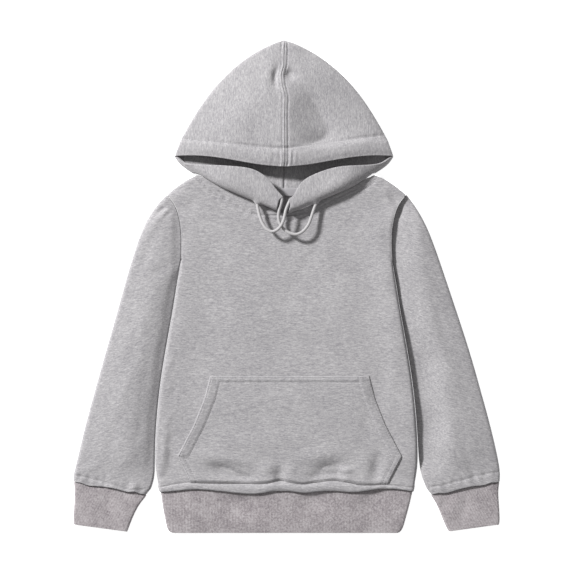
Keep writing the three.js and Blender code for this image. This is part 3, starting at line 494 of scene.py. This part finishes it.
def lay_front():
    front = smooth_copy("front_cloth", "front_panel", body_fleece)
    points, normals = read(front)
    upper = smoothstep(*FRONT_UPPER, points[:, 2])
    points[:, 2] += swell(points, FRONT_FOLDS) * upper
    faced = facing_up(normals) * upper
    points[:, 2] += faced * hem_roll(points[:, 0], points[:, 1])
    points[:, 2] += faced * sewn(points, NECK_TOPSTITCH, depth=0.9, width=1.5, pucker=0.25, pitch=9)
    points[:, 2] += faced * sewn(points, NECK_SEAM, depth=1.2, width=1.1, pucker=0.1, pitch=14)
    points[:, 2] += side_folds(points, upper)
    write(front, points)
    return declared(front, "front_panel")


front = lay_front()

# Back: it lies on the table, and lifts off it in a few low folds
THROAT_RISE = (-3, 112, 28, 12, 0, 2.0)  # the fold that lifts the back neck where it shows in the throat
BACK_FOLDS = [
    (-70, 60, 46, 7, 24, 1.4), (40, 84, 40, 6, -14, 1.2), (88, 10, 50, 8, -62, 1.3),
    (-96, -40, 60, 8, 70, 1.2), (10, -60, 70, 9, 8, 1.0), (-40, -150, 46, 7, -20, 1.3),
    (62, -180, 44, 7, 16, 1.4), (112, -120, 40, 7, 80, 1.1), (-112, -190, 36, 6, 64, 1.2),
    (0, 20, 30, 8, 50, 0.8), (20, -214, 12, 7, 80, 1.0), (-66, -218, 10, 7, 70, 1.0),
    (84, -222, 9, 6, -80, 0.9), (-20, -226, 9, 6, 80, 0.9), THROAT_RISE,
]
BACK_TOPSTITCH = [(-142, -238.5), (-70, -239.5), (0, -240.0), (70, -239.5), (142, -238.5)]


def lay_back():
    back = smooth_copy("back_cloth", "back_panel", body_fleece)
    points, normals = read(back)
    points[:, 2] += swell(points, BACK_FOLDS)
    stitches = sewn(points, BACK_TOPSTITCH, depth=-0.5, width=1.4, pucker=0.2, pitch=10)
    points[:, 2] += facing_up(-normals) * (0.35 + stitches)
    write(back, points)
    return declared(back, "back_panel")


back = lay_back()

# Sleeves and cuffs
ARM_UPPER = (3.6, 5.4)  # between these heights the sleeves' and cuffs' upper layer begins
SLEEVE_FOLDS = {
    "left": [
        (-150, 91.5, 8, 3.6, 38, -1.8), (-142, 87, 6, 3, 40, -1.2), (-158, 100, 8, 3, 42, 0.8),
        (-148, 86, 7, 3, 50, 0.8), (-158, 76, 20, 5, 62, 0.8), (-167, 40, 24, 5, 70, -0.6),
        (-150, 20, 22, 6, 30, -0.7), (-170, -40, 30, 7, 72, 0.6), (-184, -80, 26, 7, 66, -0.6),
        (-196, -130, 30, 6, 70, 0.6), (-208, -180, 26, 6, 75, -0.6), (-176, -170, 26, 6, 80, -0.7),
        (-190, -205, 24, 6, 50, 0.6), (-219, -238, 9, 3.2, 72, -1.3), (-214, -233, 8, 3, 60, 0.8),
        (-186, -243, 10, 3.4, 46, 1.1), (-194, -240, 9, 3, 52, -0.9), (-236, -218, 16, 5, 20, 0.7),
        (-168, -100, 30, 5, 80, -0.5),
    ],
    "right": [
        (135, 91, 6, 10, -10, -2.4), (150, 88, 16, 4, -50, -0.8), (142, 76, 12, 4, -70, 0.8),
        (160, 60, 24, 5, -62, 0.7), (148, 10, 22, 6, -40, -0.8), (168, 10, 26, 6, -66, 0.5),
        (186, -50, 30, 6, -72, -0.7), (172, -90, 26, 6, -60, 0.6), (200, -110, 30, 7, -74, 0.5),
        (206, -170, 28, 6, -66, -0.7), (188, -200, 24, 6, -48, 0.6), (222, -222, 14, 3.6, -70, -1.0),
        (216, -230, 10, 3, -60, 0.7), (240, -206, 18, 5, -30, -0.6), (196, -236, 12, 4, -40, 0.6),
    ],
}
CUFF_TOPSTITCH = {
    "left": curved([
        (-255, -226.6), (-236, -229.6), (-217, -235.2), (-200, -240.4), (-184, -244.0), (-172, -243.6),
    ]),
    "right": curved([
        (172, -241.0), (186, -238.4), (202, -234.2), (216, -231.0), (232, -226.4), (255, -222.4),
    ]),
}
CUFF_SEAM = {"left": [(-256.2, -235.0), (-168.3, -250.8)], "right": [(173.5, -250.8), (256.2, -235.0)]}
CUFF_FOLDS = {
    "left": [
        (-214, -262, 5, 16, 8, -0.8), (-232, -266, 6, 14, -6, 0.5), (-196, -270, 6, 14, 24, 0.5),
        (-182, -262, 5, 12, 30, -0.6),
    ],
    "right": [
        (214, -264, 5, 16, -8, -0.7), (232, -262, 6, 14, 6, 0.5), (198, -270, 6, 14, -24, 0.5),
        (188, -264, 5, 12, -30, -0.6),
    ],
}
ARCH = 4.2  # how much higher the sleeve's middle stands than its edges
# How the sleeve is tucked beside the body: place along the arm, share of its height lost, and width.
TUCK = {
    "left": [(-240, 0.12, 3.0), (110, 0.12, 3.0)],
    "right": [
        (-235, 0.50, 6.0), (-170, 0.80, 11.5), (-90, 0.82, 12.0), (-48, 0.42, 6.0), (10, 0.34, 3.5),
        (60, 0.50, 4.5), (100, 0.62, 6.0),
    ],
}
TUCK_RISE = {"left": 9.0, "right": 34.0}  # how far it takes the cloth to come up again
TUCK_FLOOR = 1.2  # cloth below this height isn't pressed down further


def sleeve_arch(points, near, far):
    """The sleeve still holds the round of an arm, highest on its outer half, and lies flatter at the cuff."""
    width = np.maximum(far - near, 1.0)
    across = np.clip((np.abs(points[:, 0]) - near) / width, 0, 1)
    to_cuff = 0.45 + 0.55 * smoothstep(-232, -190, points[:, 1])
    return ARCH * np.sin(math.pi * across**0.85) * np.minimum(1, width / 75) * to_cuff


def sleeve_tuck(points, near, side):
    """How far the sleeve's inner edge sinks where it is tucked beside the body."""
    y, z = points[:, 1], points[:, 2]
    beside = np.abs(points[:, 0]) - near
    wavering = beside + 1.2 * np.sin(y / 11) + 1.0 * np.sin(y / 27)
    places, shares, widths = zip(*TUCK[side])
    wide = np.interp(y, places, widths)
    lost = np.interp(y, places, shares) * (1 - smoothstep(wide, wide + TUCK_RISE[side], wavering))
    return lost * smoothstep(-232, -205, y) * (z - TUCK_FLOOR) * (z > TUCK_FLOOR)


def lay_sleeve(side):
    sleeve = smooth_copy(f"sleeve_cloth_{side}", f"sleeve_{side}", sleeve_fleece[side])
    points, normals = read(sleeve)
    upper = smoothstep(*ARM_UPPER, points[:, 2])
    near, far = edges_by_row(points)
    points[:, 2] += sleeve_arch(points, near, far) * upper
    points[:, 2] -= sleeve_tuck(points, near, side)
    points[:, 2] += swell(points, SLEEVE_FOLDS[side]) * upper
    stitches = sewn(points, CUFF_TOPSTITCH[side], depth=0.7, width=1.5, pucker=0.5, pitch=12)
    points[:, 2] += facing_up(normals) * upper * stitches
    waver_seam(points, CUFF_SEAM[side])
    write(sleeve, points)
    declared(sleeve, f"sleeve_{side}")


def lay_cuff(side):
    cuff = smooth_copy(f"cuff_rib_{side}", f"cuff_{side}", cuff_rib[side])
    points, _ = read(cuff)
    points[:, 2] += swell(points, CUFF_FOLDS[side]) * smoothstep(*ARM_UPPER, points[:, 2])
    waver_seam(points, CUFF_SEAM[side])
    write(cuff, points)
    declared(cuff, f"cuff_{side}")


for side in SIDES:
    lay_sleeve(side)
    lay_cuff(side)

# Hem band. It sinks just below each sag of the roll, which shades it softly, and swells towards its ends
BAND_UPPER = (4.6, 6.2)
ROLL_SAGS = [(-56, 28), (34, 22), (104, 15)]  # where the roll sags over the band, and half the sag's width
SAG_DEPTH = 2.0
BAND_FOLDS = [
    (-112, -272, 24, 20, 0, 1.3), (140, -272, 17, 20, 0, 1.2), (-30, -280, 30, 12, 6, 0.4),
    (70, -284, 26, 10, -8, 0.4),
]


def lay_band():
    band = smooth_copy("hem_rib", "hem_band", hem_rib, edge=0.8)
    points, _ = read(band)
    below = hem_y(points[:, 0]) - points[:, 1]
    sag = sum(bell(points[:, 0] - x, half) for x, half in ROLL_SAGS)
    sunk = SAG_DEPTH * sag * smoothstep(0, 8, below) * (1 - smoothstep(10, 40, below))
    points[:, 2] += smoothstep(*BAND_UPPER, points[:, 2]) * (swell(points, BAND_FOLDS) - sunk)
    write(band, points)
    declared(band, "hem_band")


lay_band()

# Hood
HOOD_X = -3.0  # its middle seam
HOOD_UPPER = (6.0, 9.0)  # between these heights the crown and the flaps begin
HOOD_BACK = (4.0, 6.0)  # and between these the layer under them ends
HOOD_FOLDS = [
    (-11.5, 251, 3.8, 11, -6, -2.8), (5.2, 254, 6, 6.5, 0, -3.4), (12, 252, 8, 4, -30, -1.0),
    (-20, 255, 5, 10, 0, 0.8), (-24, 236, 8, 18, 0, 0.5), (-60, 200, 40, 16, 40, 0.8),
    (70, 210, 40, 14, -50, 0.8), (-90, 176, 26, 9, 10, -0.6), (84, 176, 26, 9, -10, -0.6),
    (-34, 186, 30, 10, 80, -0.6), (-60, 121, 52, 9, -28, 1.9), (62, 121, 52, 9, 28, 1.9),
    (-80, 134, 20, 6, -30, -0.5), (84, 136, 20, 6, 26, -0.6), (22, 275, 8, 10, 30, -0.7),
]
# The middle seam wanders a little as the hood slumps: how far it lies from the middle, by height.
SEAM_BEND = [(140, 1.7), (201, 1.2), (228, 1.8), (242, -1.8), (254, -2.9), (265, 0.2), (290, 1.0)]
# Right of the seam the hood has sunk in: the hollow's right-hand rim, by height, its depth and its width.
HOLLOW_RIM = [(172, 30), (175, 40), (180, 45.5), (188, 48.5), (200, 44), (216, 34), (234, 24), (250, 14)]
HOLLOW_LEFT = 1.0
HOLLOW_DEPTH = 8.4
HOLLOW_BEYOND = 62
# The mouth's upper edge, and the row of stitches that holds its turned hem.
LIP = curved([(x + HOOD_X, y) for x, y in [
    (-126, 157.6), (-95, 156.6), (-60, 151.2), (-29, 145.2), (0, 143), (29, 145.2), (60, 151.2), (95, 156.6),
    (126, 157.6),
]])
HOOD_HEM = curved([
    (-124, 178), (-115.8, 176.4), (-88.7, 173.4), (-56.2, 169.8), (-18, 165.8), (-3, 165.4), (30, 169.8),
    (68.3, 175.4), (110.4, 181.2), (119, 182.6),
])
SEAM_STRIP = 3.6  # half the width of the strip that covers the middle seam


def cord_ends():
    """Each end of a drawcord and the direction in which it goes on into the cloth."""
    for route in (CORD_LEFT, CORD_RIGHT):
        for end, before in ((route[0], route[1]), (route[-1], route[-2])):
            yield Vector(end), (Vector(end) - Vector(before)).normalized()


def gather_round_cords(piece):
    """Pulls the cloth into a short mouth round each cord end near it, so that the cord comes out of it."""
    reach, overlap, width, length = 9.0, 2.4, 3.6, 5.0
    tree = surface_of(piece)
    points, _ = read(piece)
    for end, ahead in cord_ends():
        hits = []
        for turn in (0, 20, -20, 40, -40, 60, -60):
            way = ahead.copy()
            way.rotate(Matrix.Rotation(math.radians(turn), 3, "Z"))
            spot, _, _, far = tree.ray_cast(end * MM, way)
            if spot is not None and far < reach * MM:
                hits.append((far / MM, way))
        if not hits:
            continue
        gap, way = min(hits, key=lambda hit: hit[0])
        way = np.array(way)
        off = points - np.array(end) - way * gap
        along = off @ way
        across = np.linalg.norm(off - np.outer(along, way), axis=1)
        points -= np.outer((gap + overlap) * bell(across, width) * bell(along, length), way)
    write(piece, points)


def hollow(points):
    """The sunken patch falls from the seam to its steep rim, and the cloth beyond comes up again slowly."""
    rim = by_row(HOLLOW_RIM, points[:, 1])
    inside = points[:, 0] - HOLLOW_LEFT
    height = smoothstep(164, 178, points[:, 1]) * (1 - smoothstep(200, 256, points[:, 1]))
    beyond = np.clip((inside - rim) / HOLLOW_BEYOND, 0, 1)
    fall = np.clip(inside / rim, 0, 1) ** 1.4 * (1 - beyond) ** 1.35 * (1 - smoothstep(0.75, 1.0, beyond))
    return -HOLLOW_DEPTH * height * fall


def mouth_hem(points):
    """The turned hem at the mouth is full, and gathered into small upright puckers beside the seam."""
    lip_x, lip_y = zip(*LIP)
    above = points[:, 1] - np.interp(points[:, 0], lip_x, lip_y)
    in_hem = smoothstep(-1, 8, above) * (1 - smoothstep(14, 21, above))
    off = points[:, 0] - HOOD_X
    gathers = np.sin(off * 1.05 + 0.9 * np.sin(off / 4.7)) * bell(off, 20)
    return in_hem * (1.5 + 0.9 * gathers * smoothstep(4, 8, np.abs(off)))


def lay_hood(side):
    hood = smooth_copy(f"hood_cloth_{side}", f"hood_{side}", hood_fleece)
    points, normals = read(hood)
    from_seam = np.abs(points[:, 0] - HOOD_X)
    upper = smoothstep(*HOOD_UPPER, points[:, 2])
    free = 0.25 + 0.75 * smoothstep(1.0, 7.0, from_seam)
    points[:, 2] += (swell(points, HOOD_FOLDS) + hollow(points)) * upper * free
    # The back of the hood rises in the throat, where its middle seam shows.
    behind = 1 - smoothstep(*HOOD_BACK, points[:, 2])
    points[:, 2] += behind * swell(points, [THROAT_RISE])
    inner = facing_up(normals) * behind
    points[:, 2] += inner * (0.4 * bell(from_seam - 3.0, 1.6) - 1.3 * bell(from_seam, 0.9))
    faced = facing_up(normals) * upper
    points[:, 2] += faced * sewn(points, HOOD_HEM, depth=1.1, width=1.7, pucker=0.3, pitch=9)
    on_crown = faced * smoothstep(139, 146, points[:, 1])
    points[:, 2] += on_crown * mouth_hem(points)
    # A narrow strip covers the seam: its edges are stitched down, and its middle stands up round a groove.
    points[:, 2] += on_crown * (0.7 * bell(from_seam, 2.4) - 0.6 * bell(from_seam - SEAM_STRIP, 1.0))
    points[:, 2] -= on_crown * 0.5 * bell(from_seam, 0.6)
    # The two halves meet without a notch at the point of the hood, and the seam wanders.
    hand = -1.0 if side == "left" else 1.0
    points[:, 0] -= hand * 0.15 * bell(from_seam, 1.2)
    points[:, 1] += 1.5 * bell(from_seam, 2.0) * smoothstep(284, 290, points[:, 1])
    bend = by_row(SEAM_BEND, points[:, 1])
    points[:, 0] += bend * upper * bell(from_seam, 16) * smoothstep(139, 150, points[:, 1])
    write(hood, points)
    gather_round_cords(hood)
    return declared(hood, f"hood_{side}")


hoods = [lay_hood(side) for side in SIDES]

# Pouch pocket. It lies on the front and follows its every wave
POCKET_X = 3.6
# Half the pocket's width by height: the lower edge, the side corner and up the slanted opening to the top.
POCKET_EDGE = [
    (-250.6, 112.0), (-236.0, 118.4), (-203.5, 135.0), (-167.0, 115.8), (-135.0, 102.9), (-108.4, 96.0),
]
SEWN_HALF = 118  # half the width along which the pocket is sewn into the roll
POCKET_CORNER_Y = -203.5
POCKET_TOP_Y = -107.2
POCKET_ROWS, POCKET_COLUMNS = 130, 216
CORNER_SHARE = 0.26  # the share of the rows that lie below the corners
POCKET_WALL = 0.3


def pocket_half(y):
    return float(by_row(POCKET_EDGE, y))


def opening_line(side, inset, low=POCKET_CORNER_Y, high=POCKET_TOP_Y, count=24):
    """A line along one edge of the pocket, inset from it. The side is -1 or 1."""
    return [(POCKET_X + side * (pocket_half(y) - inset), y) for y in np.linspace(low, high, count)]


POCKET_TOP = [
    [(POCKET_X - 94, POCKET_TOP_Y - inset), (POCKET_X + 94, POCKET_TOP_Y - inset)] for inset in (1.6, 7.0)
]
POCKET_SIDES = [opening_line(side, inset) for side in (-1, 1) for inset in (2.2, 13.6)]
POCKET_SHORT = [
    opening_line(side, inset, low=-236.0, high=POCKET_CORNER_Y - 1, count=12)
    for side in (-1, 1)
    for inset in (2.0, 8.0)
]
POCKET_LINES = [*POCKET_TOP, *POCKET_SIDES, *POCKET_SHORT]


def pocket_y(v, low):
    """A row's place on the hoodie: below the corners it rises with the roll, and above it runs straight."""
    if v < CORNER_SHARE:
        return low + (POCKET_CORNER_Y - low) * v / CORNER_SHARE
    return POCKET_CORNER_Y + (POCKET_TOP_Y - POCKET_CORNER_Y) * (v - CORNER_SHARE) / (1 - CORNER_SHARE)


def pocket_rise(u, y, low):
    """How far the pocket's face stands off the front, with its turned hems and the edge sewn down."""
    to_side = pocket_half(y) * (1 - abs(u))
    to_top = POCKET_TOP_Y - y
    rim = math.sqrt(max(0.0, 1 - (1 - min(1.0, min(to_side, to_top) / 1.4)) ** 2))
    opening = smoothstep(POCKET_CORNER_Y - 3, POCKET_CORNER_Y + 3, y)
    hem = opening * (0.6 * (1 - smoothstep(12.6, 14.6, to_side)) + 0.9 * bell(to_side, 9))
    hem -= 1.1 * (1 - opening) * bell(to_side, 5)
    top_hem = 0.8 * (1 - smoothstep(6.0, 7.4, to_top)) * (to_top < 8)
    held = smoothstep(0.0, 4.0, y - low)
    # The right-hand opening is pressed flatter against the front than the left.
    pressed = 0.62 * smoothstep(0, 1, u) * bell(to_side, 9) * opening
    proud = (1.95 * (0.15 + 0.85 * held) + max(float(hem), float(top_hem))) * (1 - pressed)
    return 0.35 - 0.3 * (1 - held) + proud * rim


def lay_pocket():
    front_tree = surface_of(front)
    shape = bmesh.new()
    bmesh.ops.create_grid(shape, x_segments=POCKET_COLUMNS, y_segments=POCKET_ROWS, size=1.0)
    for vert in shape.verts:
        u, v = vert.co.x, (vert.co.y + 1) / 2
        low = float(roll_y(POCKET_X + u * SEWN_HALF)) + 0.2
        y = pocket_y(v, low)
        x = POCKET_X + u * pocket_half(y)
        z, _ = height_on(front_tree, x, y)
        vert.co = Vector((x, y, z + pocket_rise(u, y, low))) * MM
    mesh = bpy.data.meshes.new("pocket_cloth")
    bmesh.ops.recalc_face_normals(shape, faces=shape.faces)
    if sum(f.normal.z for f in shape.faces) < 0:
        bmesh.ops.reverse_faces(shape, faces=shape.faces)
    shape.to_mesh(mesh)
    shape.free()
    pocket = finished("pocket_cloth", mesh, body_fleece)
    points, _ = read(pocket)
    lift = sum(sewn(points, line, depth=0.38, width=1.2, pucker=0.1, pitch=9) for line in POCKET_LINES)
    points[:, 2] += lift * smoothstep(8.0, 9.6, points[:, 2])
    write(pocket, points)
    wall = pocket.modifiers.new("wall", "SOLIDIFY")
    wall.thickness = POCKET_WALL * MM
    wall.offset = -1
    return declared(pocket, "pocket")


pocket = lay_pocket()

# Topstitching: short stitches laid along each line, on whatever cloth lies there
STITCH_PITCH = 3.0
STITCH_SIZE = (1.15, 0.34, 0.26)  # half its length, width and height
STITCH_RISE = 0.1  # how far its middle lies above the cloth


def one_stitch():
    stamp = bmesh.new()
    bmesh.ops.create_icosphere(stamp, subdivisions=1, radius=1.0)
    bmesh.ops.scale(stamp, verts=stamp.verts, vec=Vector(STITCH_SIZE) * MM)
    mesh = bpy.data.meshes.new("one_stitch")
    stamp.to_mesh(mesh)
    stamp.free()
    return mesh


def stitch_rows(name, lines, tree):
    one = one_stitch()
    rows = bmesh.new()
    for line in lines:
        path = np.array(line, dtype=float)
        runs = np.hypot(*np.diff(path, axis=0).T)
        total = runs.sum()
        at = np.concatenate([[0], np.cumsum(runs)])
        for k in range(int(total / STITCH_PITCH)):
            here = (k + 0.5) * STITCH_PITCH
            x, y = np.interp(here, at, path[:, 0]), np.interp(here, at, path[:, 1])
            z, up = height_on(tree, x, y)
            if z is None:
                continue
            ahead = min(total, here + 0.8)
            dx, dy = np.interp(ahead, at, path[:, 0]) - x, np.interp(ahead, at, path[:, 1]) - y
            run = Vector((dx, dy, 0)).normalized()
            run = (run - up * run.dot(up)).normalized()
            turn = Matrix((run, up.cross(run), up)).transposed().to_4x4()
            spot = Vector((x, y, z)) * MM + up * STITCH_RISE * MM
            size = len(rows.verts)
            rows.from_mesh(one)
            rows.verts.ensure_lookup_table()
            bmesh.ops.transform(rows, matrix=Matrix.Translation(spot) @ turn, verts=rows.verts[size:])
    mesh = bpy.data.meshes.new(name)
    rows.to_mesh(mesh)
    rows.free()
    piece = finished(name, mesh, thread)
    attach(piece, "root")


body_tree = surface_of(front, pocket)
stitch_rows("pocket_stitches", POCKET_LINES, body_tree)
stitch_rows("neck_stitches", [NECK_TOPSTITCH], body_tree)
SEAM_ROWS = [
    [(HOOD_X + across + float(by_row(SEAM_BEND, y)), y) for y in range(146, 289, 3)] for across in (-3.2, 3.2)
]
stitch_rows("hood_stitches", [HOOD_HEM, *SEAM_ROWS], surface_of(*hoods))

# Neck tape: a narrow twill tape covers the seam between the hood and the back of the neck, in the throat
BACK_NECK = curved([
    (-84, 125.4), (-60, 119.0), (-40, 115.6), (-20, 113.6), (0, 113.1), (20, 113.6), (40, 115.6), (60, 119.0),
    (84, 125.4),
])
TAPE_HALF_LENGTH = 82
TAPE_HALF_WIDTH = 5.0
TAPE_WALL = 0.4


def lay_neck_tape():
    inside_tree = surface_of(back, *hoods)
    below_flaps = 6.0
    neck_x, neck_y = zip(*BACK_NECK)
    shape = bmesh.new()
    bmesh.ops.create_grid(shape, x_segments=80, y_segments=6, size=1.0)
    for vert in shape.verts:
        x = vert.co.x * TAPE_HALF_LENGTH
        y = float(np.interp(x, neck_x, neck_y)) + vert.co.y * TAPE_HALF_WIDTH
        levels = [height_on(inside_tree, x, y + step, below_flaps)[0] for step in (-1.5, 0, 1.5)]
        z = max([level for level in levels if level is not None] or [2.4])
        vert.co = Vector((x, y, z + 0.75 - 0.25 * abs(vert.co.y) ** 4)) * MM
    for _ in range(6):
        bmesh.ops.smooth_vert(shape, verts=shape.verts, factor=0.5, use_axis_z=True)
    mesh = bpy.data.meshes.new("neck_tape")
    shape.to_mesh(mesh)
    shape.free()
    tape = finished("neck_tape", mesh, thread)
    wall = tape.modifiers.new("wall", "SOLIDIFY")
    wall.thickness = TAPE_WALL * MM
    wall.offset = 0
    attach(tape, "root")


lay_neck_tape()

# Table and light: a white table that glows faintly, a soft key from the upper left and a wide fill
TABLE_HALF = 2.4
TABLE_GLOW = 0.72
FILL_STRENGTH = 0.36
KEY_PLACE = (-3.4, 2.6, 2.85)
KEY_POWER = 470
KEY_SIZE = 0.62
WHITE = (1, 1, 1, 1)

table_shape = bmesh.new()
bmesh.ops.create_grid(table_shape, x_segments=1, y_segments=1, size=TABLE_HALF)
table_mesh = bpy.data.meshes.new("table")
table_shape.to_mesh(table_mesh)
table_shape.free()
table = bpy.data.objects.new("table", table_mesh)
table.location.z = -0.2 * MM
bpy.context.scene.collection.objects.link(table)
# White laminate board: matt and evenly bright, as the photograph's background is.
table_material, _, table_shader = shaded("white_table", 0.9, 0.0)
table_shader.inputs["Base Color"].default_value = srgb("f7f7f7")
table_shader.inputs["Emission Color"].default_value = WHITE
table_shader.inputs["Emission Strength"].default_value = TABLE_GLOW
table_mesh.materials.append(table_material)

world = bpy.data.worlds.new("studio")
bpy.context.scene.world = world
world.use_nodes = True
world.node_tree.nodes["Background"].inputs["Color"].default_value = WHITE
world.node_tree.nodes["Background"].inputs["Strength"].default_value = FILL_STRENGTH

key_data = bpy.data.lights.new("key", "AREA")
key_data.energy = KEY_POWER
key_data.size = KEY_SIZE
key = bpy.data.objects.new("key", key_data)
key.location = KEY_PLACE
key.rotation_euler = (-Vector(key.location)).to_track_quat("-Z", "Y").to_euler()
bpy.context.scene.collection.objects.link(key)
bpy.context.scene.view_settings.view_transform = "Standard"
